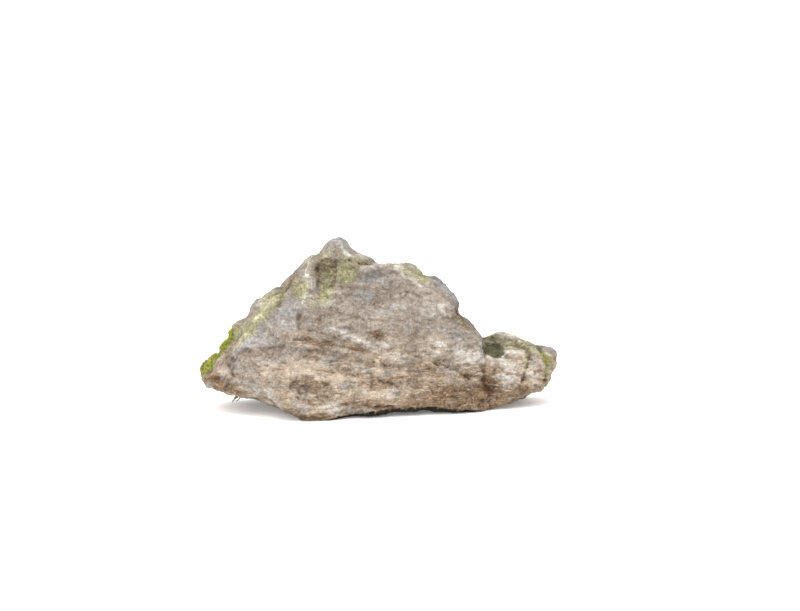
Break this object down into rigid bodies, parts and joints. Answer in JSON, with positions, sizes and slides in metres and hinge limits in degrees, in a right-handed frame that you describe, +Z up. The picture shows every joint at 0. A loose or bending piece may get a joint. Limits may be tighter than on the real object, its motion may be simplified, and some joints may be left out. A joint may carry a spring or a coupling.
{
  "type": "pumice stone",
  "caption": "Weathered grey-brown pumice stone shaped like a small mountain, with a low dished shoulder, cushions of moss and hanging rootlets.",
  "frame": {"origin": "on the ground under the middle of the stone's bounding box", "axes": "+X along the stone's length, from its pointed left end to its low right shoulder; +Y from its broad front face to its back; +Z up"},
  "size_m": [0.2358, 0.104, 0.111],
  "materials": {
    "stone": "matte",
    "moss": "matte",
    "roots": "matte"
  },
  "bodies": {
    "root": {"stone": "stone", "moss_left_tip": "moss", "moss_left_slope": "moss", "moss_right_end": "moss", "rootlets": "roots"}
  },
  "joints": []
}
